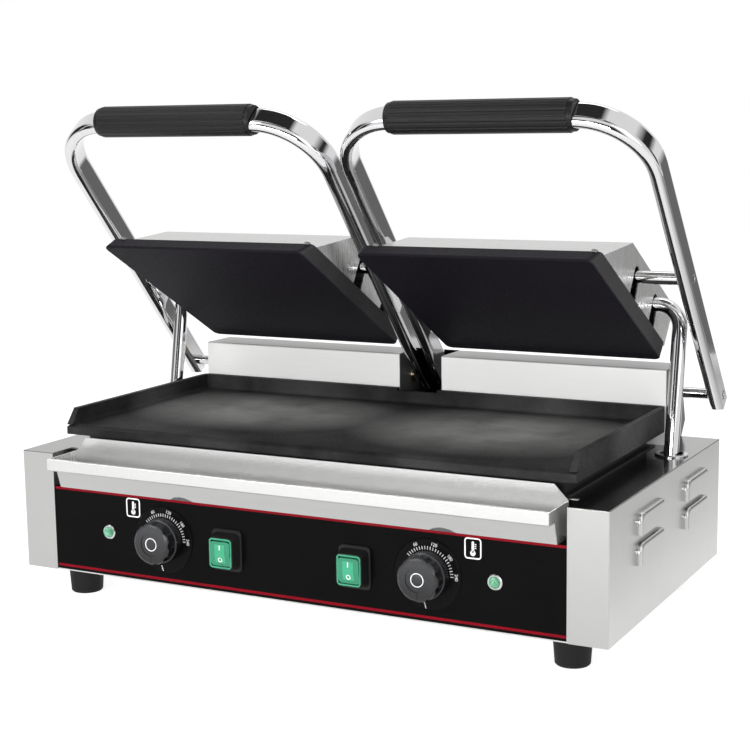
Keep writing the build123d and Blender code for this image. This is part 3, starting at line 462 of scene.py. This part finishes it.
def hollowOut(band):
    # in edit mode, leaves a flat frame of the selected faces
    bpy.ops.mesh.select_all(action="SELECT")
    bpy.ops.mesh.inset(thickness=band)
    bpy.ops.mesh.delete(type="FACE")


def flatSheet(width, height, corner, band=None):
    # a rounded rectangle with no thickness, lying flat; a band leaves only a frame of it
    bpy.ops.mesh.primitive_plane_add(size=1)
    sheet = bpy.context.object
    sheet.scale = (width, height, 1)
    bpy.ops.object.transform_apply(scale=True)
    bpy.ops.object.mode_set(mode="EDIT")
    bpy.ops.mesh.select_all(action="SELECT")
    bpy.ops.mesh.bevel(offset=corner, segments=making["cornerSteps"], affect="VERTICES")
    if band:
        hollowOut(band)
    bpy.ops.object.mode_set(mode="OBJECT")
    return sheet


def roundedPlate(width, height, corner, thick, band=None):
    # the same rectangle with a thickness, facing the front
    plate = flatSheet(width, height, corner, band)
    applyModifier(plate, "SOLIDIFY", thickness=thick, offset=1.0)
    return settle(plate, standUp)


def disc(radius, thick, steps=32, bevel=0.0):
    # a thin disc facing the front
    bpy.ops.mesh.primitive_cylinder_add(vertices=steps, radius=radius, depth=thick)
    puck = bpy.context.object
    if bevel:
        pickFaces(puck, looksUp)
        bpy.ops.mesh.bevel(offset=bevel, segments=2)
        bpy.ops.object.mode_set(mode="OBJECT")
    return settle(puck, standUp, (0, -thick / 2, 0))


def ring(radius, band, thick, steps=48):
    # a flat ring facing the front
    bpy.ops.mesh.primitive_circle_add(vertices=steps, radius=radius, fill_type="NGON")
    hoop = bpy.context.object
    bpy.ops.object.mode_set(mode="EDIT")
    hollowOut(band)
    bpy.ops.object.mode_set(mode="OBJECT")
    applyModifier(hoop, "SOLIDIFY", thickness=thick, offset=1.0)
    return settle(hoop, standUp)


def figures(text, size, thick, turn, spot):
    # printed figures facing the front
    bpy.ops.object.text_add()
    words = bpy.context.object
    words.data.body = text
    words.data.size = size
    words.data.align_x = "CENTER"
    words.data.align_y = "CENTER"
    words.data.extrude = thick / 2
    words.data.offset = size * making["inkSpread"]
    onlySelect(words)
    bpy.ops.object.convert(target="MESH")
    words = bpy.context.object
    settle(words, standUp)
    return settle(words, (0, turn, 0), spot)


# panel print
panelPrint = {"lineTall": 2.3 * mm, "lineHigh": 105.05 * mm, "lineLow": 32.3 * mm, "lineInset": 0.8 * mm,
              "lineCorner": 0.25 * mm, "signWide": 15.0 * mm, "signTall": 17.5 * mm, "signCorner": 3.0 * mm,
              "signBand": 1.15 * mm, "signLeft": (-162.6 * mm, 94.5 * mm),
              "signRight": (170.2 * mm, 94.9 * mm)}
thermometer = {"bulbRadius": 2.35 * mm, "bulbDrop": 0.22, "stemWide": 2.2 * mm, "stemTall": 9.6 * mm,
               "stemCorner": 1.05 * mm, "stemRise": 0.06, "marks": 3, "markWide": 1.5 * mm,
               "markTall": 0.7 * mm, "markCorner": 0.2 * mm, "markOut": 2.3 * mm, "markRise": 0.02,
               "markStep": 0.09}


def redLine(name, z):
    width = edge("control_panel", "high", "x") - edge("control_panel", "low", "x")
    width = width - 2 * panelPrint["lineInset"]
    line = roundedPlate(width, panelPrint["lineTall"], panelPrint["lineCorner"], inkThick)
    settle(line, spot=(0, panelFace, z))
    handOver(line, name, "redLine", "base")


def heatSign(name, x, z):
    # a rounded frame with a plain thermometer in it; rises and drops are shares of its height
    tall = panelPrint["signTall"]
    border = roundedPlate(panelPrint["signWide"], tall, panelPrint["signCorner"], inkThick,
                          panelPrint["signBand"])
    bulb = settle(disc(thermometer["bulbRadius"], inkThick), spot=(0, 0, -tall * thermometer["bulbDrop"]))
    stem = roundedPlate(thermometer["stemWide"], thermometer["stemTall"], thermometer["stemCorner"], inkThick)
    settle(stem, spot=(0, 0, tall * thermometer["stemRise"]))
    marks = []
    for step in range(thermometer["marks"]):
        mark = roundedPlate(thermometer["markWide"], thermometer["markTall"], thermometer["markCorner"],
                            inkThick)
        rise = tall * (thermometer["markRise"] + step * thermometer["markStep"])
        marks.append(settle(mark, spot=(thermometer["markOut"], 0, rise)))
    sign = joinPieces([border, bulb, stem] + marks)
    settle(sign, spot=(x, panelFace, z))
    handOver(sign, name, "print", "base")


redLine("redLineTop", panelPrint["lineHigh"])
redLine("redLineBottom", panelPrint["lineLow"])
heatSign("heatSignLeft", *panelPrint["signLeft"])
heatSign("heatSignRight", *panelPrint["signRight"])
print("panel print done")

# dials
dialPrint = {"tickInner": 20.9 * mm, "tickOuter": 23.7 * mm, "tickWide": 0.65 * mm, "tickCorner": 0.12 * mm,
             "firstTurn": -48.5, "tickTurn": 6.27, "tickCount": 23, "figureRadius": 26.1 * mm,
             "figureSize": 3.9 * mm, "figures": ("60", "120", "180", "240"), "firstFigure": 4,
             "ticksPerFigure": 6, "indexWide": 0.8 * mm, "indexLong": 5.2 * mm, "indexCorner": 0.2 * mm,
             "indexLean": -18, "indexTurn": -176.0, "indexRadius": 26.4 * mm}
dialFace = edge("dials", "low", "y")


def onDial(radius, turn):
    # a point at a radius and turn about the dial's middle, clockwise from the top
    return math.sin(turn) * radius, 0, math.cos(turn) * radius


def tickTurn(step):
    return math.radians(dialPrint["firstTurn"] + step * dialPrint["tickTurn"])


def dialMarks(name, x):
    marks = []
    length = dialPrint["tickOuter"] - dialPrint["tickInner"]
    first = roundedPlate(dialPrint["tickWide"], length, dialPrint["tickCorner"], inkThick)
    settle(first, spot=(0, 0, (dialPrint["tickInner"] + dialPrint["tickOuter"]) / 2))
    for step in range(dialPrint["tickCount"]):
        marks.append(settle(copyOf(first), (0, tickTurn(step), 0)))
    for count, text in enumerate(dialPrint["figures"]):
        turn = tickTurn(dialPrint["firstFigure"] + count * dialPrint["ticksPerFigure"])
        spot = onDial(dialPrint["figureRadius"], turn)
        marks.append(figures(text, dialPrint["figureSize"], inkThick, turn, spot))
    index = roundedPlate(dialPrint["indexWide"], dialPrint["indexLong"], dialPrint["indexCorner"], inkThick)
    settle(index, (0, math.radians(dialPrint["indexLean"]), 0))
    settle(index, spot=onDial(dialPrint["indexRadius"], math.radians(dialPrint["indexTurn"])))
    discard(first)
    printed = joinPieces(marks + [index])
    settle(printed, spot=(x, dialFace, knobZ))
    handOver(printed, name, "dialPrint", "base")


for side, sign in sides.items():
    dialMarks("dialMarks" + side.title(), sign * knobX)
print("dial marks done")

# knobs
knobCap = {"capRadius": 4.6 * mm, "capThick": 0.45 * mm, "capBevel": 0.25 * mm, "capSteps": 48,
           "ringRadius": 5.9 * mm, "ringBand": 0.75 * mm, "ringInk": 1.5, "dish": 0.7 * mm,
           "pointerWide": 0.7 * mm,
           "pointerLong": 6.0 * mm, "pointerCorner": 0.3 * mm, "pointerDrop": 13.0 * mm}
knobFace = edge("knob_right", "low", "y")


def knobTrim(side, x):
    body = "knob_" + side
    hoop = ring(knobCap["ringRadius"], knobCap["ringBand"], inkThick * knobCap["ringInk"])
    settle(hoop, spot=(x, knobFace + knobCap["dish"], knobZ))
    handOver(hoop, "knobRing" + side.title(), "print", body)
    cap = disc(knobCap["capRadius"], knobCap["capThick"], knobCap["capSteps"], knobCap["capBevel"])
    settle(cap, spot=(x, knobFace + knobCap["dish"], knobZ))
    handOver(cap, "knobCap" + side.title(), "knob", body)
    pointer = roundedPlate(knobCap["pointerWide"], knobCap["pointerLong"], knobCap["pointerCorner"], inkThick)
    settle(pointer, spot=(x, knobFace, knobZ - knobCap["pointerDrop"]))
    handOver(pointer, "knobPointer" + side.title(), "boot", body)


for side, sign in sides.items():
    knobTrim(side, sign * knobX)
print("knob trim done")

# rocker keys
keyPrint = {"insetWide": 10.2 * mm, "insetTall": 16.4 * mm, "insetCorner": 0.8 * mm, "insetLift": 0.02 * mm,
            "barWide": 0.9 * mm, "barTall": 4.2 * mm, "barCorner": 0.2 * mm, "ringRadius": 2.1 * mm,
            "ringBand": 0.65 * mm, "ringCorner": 0.98, "markZ": 5.4 * mm, "markLift": 0.16 * mm,
            "thick": 0.12 * mm, "ahead": 50 * mm, "smoothAngle": 25, "rimWide": 22.4 * mm,
            "rimTall": 26.4 * mm, "rimBand": 1.5 * mm, "rimCorner": 3.2 * mm, "rimThick": 0.35 * mm}
switchZ = centre("rocker_right", "z")


def layOn(piece, node, lift):
    # splits a thin piece at the key's bend, drapes it on the key's front and thickens it
    onlySelect(piece)
    bpy.ops.object.mode_set(mode="EDIT")
    bpy.ops.mesh.select_all(action="SELECT")
    bpy.ops.mesh.bisect(plane_co=(0, 0, switchZ), plane_no=(0, 0, 1))
    bpy.ops.object.mode_set(mode="OBJECT")
    applyModifier(piece, "SHRINKWRAP", target=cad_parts[node], wrap_method="PROJECT", use_project_y=True,
                  use_positive_direction=True, use_negative_direction=False, offset=lift)
    applyModifier(piece, "SOLIDIFY", thickness=keyPrint["thick"], offset=1.0)


def keyMark(side, name, sheet, rise, lift, finish, angle=making["smoothAngle"]):
    node = "rocker_" + side
    settle(sheet, standUp, (centre(node, "x"), front - keyPrint["ahead"], switchZ + rise))
    layOn(sheet, node, lift)
    handOver(sheet, name + side.title(), finish, "switch_" + side, angle)


def keyMarks(side):
    inset = flatSheet(keyPrint["insetWide"], keyPrint["insetTall"], keyPrint["insetCorner"])
    keyMark(side, "keyInset", inset, 0, keyPrint["insetLift"], "greenInset", keyPrint["smoothAngle"])
    bar = flatSheet(keyPrint["barWide"], keyPrint["barTall"], keyPrint["barCorner"])
    keyMark(side, "keyOnMark", bar, keyPrint["markZ"], keyPrint["markLift"], "print")
    radius = keyPrint["ringRadius"]
    hoop = flatSheet(radius * 2, radius * 2, radius * keyPrint["ringCorner"], keyPrint["ringBand"])
    keyMark(side, "keyOffMark", hoop, -keyPrint["markZ"], keyPrint["markLift"], "print")


def keyRim(side):
    # green rim of the rocker, on the front of its rubber frame
    node = "switch_frame_" + side
    rim = roundedPlate(keyPrint["rimWide"], keyPrint["rimTall"], keyPrint["rimCorner"], keyPrint["rimThick"],
                       keyPrint["rimBand"])
    settle(rim, spot=(centre(node, "x"), edge(node, "low", "y"), switchZ))
    handOver(rim, "keyRim" + side.title(), "greenRim", "base", keyPrint["smoothAngle"])


for side in sides:
    keyMarks(side)
    keyRim(side)
print("rocker marks done")

# screws
screwSize = {"head": 3.4 * mm, "tall": 1.7 * mm, "round": 0.75 * mm, "roundSteps": 4, "steps": 32,
             "slotLong": 3.9 * mm, "slotWide": 0.8 * mm, "slotDeep": 0.9 * mm}


def crossScrew():
    # a pan head with a cross recess, facing +Z; its middle is at the origin, so half of it sinks in
    tall = screwSize["tall"]
    bpy.ops.mesh.primitive_cylinder_add(vertices=screwSize["steps"], radius=screwSize["head"], depth=tall,
                                        location=(0, 0, tall / 2))
    head = bpy.context.object
    pickFaces(head, looksUp)
    bpy.ops.mesh.bevel(offset=screwSize["round"], segments=screwSize["roundSteps"])
    bpy.ops.object.mode_set(mode="OBJECT")
    cutters = []
    for turn in (0, 90):
        bpy.ops.mesh.primitive_cube_add(size=1, location=(0, 0, tall))
        cutter = bpy.context.object
        cutter.scale = (screwSize["slotLong"], screwSize["slotWide"], screwSize["slotDeep"] * 2)
        cutter.rotation_euler = (0, 0, math.radians(turn))
        bpy.ops.object.transform_apply(location=True, rotation=True, scale=True)
        cutters.append(cutter)
    for cutter in cutters:
        applyModifier(head, "BOOLEAN", object=cutter, operation="DIFFERENCE", solver="EXACT")
    discard(*cutters)
    return settle(head)


patternScrew = crossScrew()


def screwAt(name, spot, along, finish, body, grow=1.0, twist=0.0, taller=1.0):
    # a copy of the screw, its middle at a spot and its head facing along a direction
    screw = copyOf(patternScrew)
    screw.scale = (grow, grow, grow * taller)
    bpy.ops.object.transform_apply(scale=True)
    settle(screw, (0, 0, math.radians(twist)))
    turn = Vector((0, 0, 1)).rotation_difference(Vector(along)).to_euler()
    settle(screw, turn, spot)
    handOver(screw, name, finish, body)


headScrew = {"headTilt": 29.5, "along": -95.4 * mm, "up": -20.5 * mm, "fromLeft": 12.0 * mm,
             "fromRight": 6.0 * mm, "twistA": 20, "twistB": 65, "grow": 0.85, "taller": 1.9}
headTilt = math.radians(headScrew["headTilt"])
headUp = (0, math.sin(headTilt), math.cos(headTilt))
rodY = centre("hanger_rod_right", "y")
rodZ = centre("hanger_rod_right", "z")
ledgeY = rodY + headScrew["along"] * math.cos(headTilt) + headScrew["up"] * math.sin(headTilt)
ledgeZ = rodZ - headScrew["along"] * math.sin(headTilt) + headScrew["up"] * math.cos(headTilt)


def ledgeScrews(side):
    # on the front ledge of the tilted head, measured from its hanger rod
    plate = "head_plate_" + side
    spots = (("ledgeScrewA", edge(plate, "low", "x") + headScrew["fromLeft"], headScrew["twistA"]),
             ("ledgeScrewB", edge(plate, "high", "x") - headScrew["fromRight"], headScrew["twistB"]))
    for name, x, twist in spots:
        screwAt(name + side.title(), (x, ledgeY, ledgeZ), headUp, "element", "head_" + side,
                headScrew["grow"], twist, headScrew["taller"])


for side in sides:
    ledgeScrews(side)

armScrew = {"deep": 1.25 * mm, "grow": 1.1, "twist": 30}
pivotY = centre("pivot_rod_right", "y")
pivotZ = centre("pivot_rod_right", "z")


def armScrews(side, sign):
    # in the recesses at both rods' ends, on the outer side of the arm
    tube = "arm_tube_" + side
    outerX = max(abs(edge(tube, "low", "x")), abs(edge(tube, "high", "x"))) - armScrew["deep"]
    for name, y, z in (("armScrewUpper", rodY, rodZ), ("armScrewLower", pivotY, pivotZ)):
        screwAt(name + side.title(), (sign * outerX, y, z), (sign, 0, 0), "rod", "arm_" + side,
                armScrew["grow"], armScrew["twist"])


for side, sign in sides.items():
    armScrews(side, sign)

gapScrew = {"spots": ((-10.5 * mm, 8 * mm), (-10.5 * mm, 17 * mm), (9.0 * mm, 26 * mm)), "lift": 1.2 * mm,
            "grow": 0.75, "twist": 15}
for count, (x, back) in enumerate(gapScrew["spots"]):
    spot = (x, edge("gap_plate", "low", "y") + back, edge("gap_plate", "low", "z") + gapScrew["lift"])
    screwAt("gapScrew%d" % count, spot, (0, 0, 1), "rod", "base", gapScrew["grow"],
            gapScrew["twist"] * count)

baseScrew = {"x": (-98 * mm, 103.5 * mm, -205 * mm, 205 * mm), "back": 9 * mm, "grow": 0.9, "twist": 40}
for count, x in enumerate(baseScrew["x"]):
    screwAt("baseScrew%d" % count, (x, front + baseScrew["back"], edge("base_pan", "low", "z")), (0, 0, -1),
            "rod", "base", baseScrew["grow"], baseScrew["twist"] * count)

backScrew = {"fromEnd": 8 * mm, "fromTop": 10 * mm, "grow": 0.9, "twist": 25}
backX = edge("rear_panel", "high", "x") - backScrew["fromEnd"]
backHigh = edge("rear_panel", "high", "z") - backScrew["fromTop"]
backLow = edge("rear_panel", "low", "z") + backScrew["fromTop"]
backSpots = ((-backX, backHigh), (backX, backHigh), (-backX, backLow), (backX, backLow), (0, backHigh),
             (0, backLow))
for count, (x, z) in enumerate(backSpots):
    screwAt("backScrew%d" % count, (x, edge("rear_panel", "high", "y"), z), (0, 1, 0), "rod", "base",
            backScrew["grow"], backScrew["twist"] * count)
discard(patternScrew)
print("screws done")

# camera, floor and light
view = {"x": 0.677, "ahead": 1.1264, "z": 0.4339, "azimuth": 27.743, "elevation": 9.09, "roll": -0.822,
        "lens": 76.35, "sensor": 36}
bpy.ops.object.camera_add(location=(view["x"], front - view["ahead"], view["z"]))
camera = bpy.context.object
camera.rotation_euler = (Matrix.Rotation(math.radians(view["azimuth"]), 3, "Z")
                         @ Matrix.Rotation(math.radians(90 - view["elevation"]), 3, "X")
                         @ Matrix.Rotation(math.radians(view["roll"]), 3, "Z")).to_euler()
camera.data.lens = view["lens"]
camera.data.sensor_width = view["sensor"]
scene.camera = camera

studio = {"skyStrength": 0.62, "floorSize": 8.0, "floorWhite": 0.78, "floorGlow": 0.80, "floorShade": 0.42}
lamps = {
    "keyLamp": {"spot": (-1.1, -1.5, 1.7), "target": (0, 0, 0.15), "size": (1.2, 1.2), "power": 13.0},
    "fillLamp": {"spot": (1.9, -0.9, 1.1), "target": (0, 0, 0.2), "size": (1.0, 1.6), "power": 7.0},
    "topLamp": {"spot": (0.0, 0.5, 2.1), "target": (0, 0, 0.2), "size": (1.6, 1.0), "power": 9.0},
    "lowLamp": {"spot": (0.05, -1.3, 0.30), "target": (0, 0.1, 0.17), "size": (1.4, 0.14), "power": 9.5},
}
# shade is a card's brightness inside its soft rim, which begins at soft and ends at its edge, 0.5
cards = {
    "cardLeft": {"spot": (-1.65, -0.35, 0.75), "target": (0, 0, 0.3), "size": (1.1, 1.5), "shade": 0.02},
    "cardRight": {"spot": (1.5, 0.75, 0.75), "target": (0.2, 0, 0.3), "size": (0.7, 1.5), "shade": 0.02},
    "cardBack": {"spot": (0.9, 1.45, 0.25), "target": (0.1, 0, 0.25), "size": (1.2, 0.8), "shade": 0.17},
    "cardAbove": {"spot": (-0.05, 0.0, 1.8), "target": (-0.05, 0.0, 0), "size": (1.5, 0.8), "shade": 0.02,
                  "soft": 0.38},
    "cardFront": {"spot": (-0.15, -1.5, 0.62), "target": (0.25, 0.08, 0.25), "size": (0.8, 0.7),
                  "shade": 0.02, "soft": 0.38},
    "cardTop": {"spot": (0.3, -0.6, 1.9), "target": (0, 0, 0.25), "size": (2.4, 0.6), "shade": 0.02},
    "cardNear": {"spot": (-1.6, -0.95, 0.45), "target": (0, 0, 0.25), "size": (1.1, 1.4), "shade": 0.02},
    "cardLens": {"spot": (0.85, -1.55, 0.50), "target": (0, 0, 0.25), "size": (1.3, 1.5), "shade": 0.03},
    "cardFloor": {"spot": (0.97, 0.85, 0.004), "target": (0.97, 0.85, 1.0), "size": (1.25, 1.7),
                  "shade": 0.25, "soft": 0.15},
}


def seenMask(tree):
    # 1 for what the camera, shiny surfaces and glass see, 0 for the light that falls on the grill
    rays = tree.nodes.new("ShaderNodeLightPath")
    seen = combine(tree, "MAXIMUM", rays.outputs["Is Camera Ray"], rays.outputs["Is Glossy Ray"])
    return combine(tree, "MAXIMUM", seen, rays.outputs["Is Transmission Ray"])


def softFloor():
    # white to the camera, metal and glass, yet it keeps a soft shadow
    bpy.ops.mesh.primitive_plane_add(size=studio["floorSize"])
    floor = bpy.context.object
    floor.name = "studioFloor"
    material, tree, shader = newFinish("floorWhite", (studio["floorWhite"],) * 3, roughness=0.9)
    shader.inputs["Specular IOR Level"].default_value = 0.0
    glow = tree.nodes.new("ShaderNodeEmission")
    glow.inputs["Strength"].default_value = studio["floorGlow"]
    both = tree.nodes.new("ShaderNodeAddShader")
    dim = tree.nodes.new("ShaderNodeBsdfDiffuse")
    feed(tree, (studio["floorShade"],) * 3, dim.inputs["Color"])
    tree.links.new(glow.outputs["Emission"], both.inputs[0])
    tree.links.new(dim.outputs["BSDF"], both.inputs[1])
    choose = tree.nodes.new("ShaderNodeMixShader")
    tree.links.new(seenMask(tree), choose.inputs["Fac"])
    tree.links.new(shader.outputs["BSDF"], choose.inputs[1])
    tree.links.new(both.outputs["Shader"], choose.inputs[2])
    tree.links.new(choose.outputs["Shader"], tree.nodes["Material Output"].inputs["Surface"])
    floor.data.materials.append(material)


def paleSky():
    # white where it is seen, dimmer as a light
    world = bpy.data.worlds.new("paleSky")
    scene.world = world
    world.use_nodes = True
    tree = world.node_tree
    background = tree.nodes["Background"]
    background.inputs["Color"].default_value = (1, 1, 1, 1)
    strength = spread(tree, seenMask(tree), studio["skyStrength"], 1.0, 0, 1)
    tree.links.new(strength, background.inputs["Strength"])


def aimed(spot, target):
    return (Vector(target) - Vector(spot)).to_track_quat("-Z", "Y").to_euler()


def softLamp(name, spot, target, size, power):
    bpy.ops.object.light_add(type="AREA", location=spot)
    lamp = bpy.context.object
    lamp.name = name
    lamp.data.shape = "RECTANGLE"
    lamp.data.size, lamp.data.size_y = size
    lamp.data.energy = power
    lamp.rotation_euler = aimed(spot, target)


def shadeCard(name, spot, target, size, shade, soft=0.28):
    # a dark card with a soft rim that only shiny parts see, as photographers hang beside chrome
    bpy.ops.mesh.primitive_plane_add(size=1)
    card = bpy.context.object
    card.name = name
    card.scale = (size[0], size[1], 1)
    card.rotation_euler = aimed(spot, target)
    card.location = spot
    bpy.ops.object.transform_apply(location=True, rotation=True, scale=True)
    material, tree, shader = newFinish(name + "Cloth", (0.01, 0.01, 0.01), roughness=1.0)
    shader.inputs["Specular IOR Level"].default_value = 0.0
    shader.inputs["Emission Color"].default_value = (1, 1, 1, 1)
    flat = tree.nodes.new("ShaderNodeTexCoord").outputs["UV"]
    across = combine(tree, "ABSOLUTE", combine(tree, "SUBTRACT", partOf(tree, flat, "X"), 0.5))
    along = combine(tree, "ABSOLUTE", combine(tree, "SUBTRACT", partOf(tree, flat, "Y"), 0.5))
    rim = combine(tree, "MAXIMUM", across, along)
    tree.links.new(spread(tree, rim, shade, 1.0, soft, 0.5), shader.inputs["Emission Strength"])
    card.data.materials.append(material)
    card.visible_camera = False
    card.visible_diffuse = False
    card.visible_shadow = False
    card.visible_transmission = False
    card.visible_volume_scatter = False


softFloor()
paleSky()
for name, lamp in lamps.items():
    softLamp(name, **lamp)
for name, card in cards.items():
    shadeCard(name, **card)
print("camera and light done")
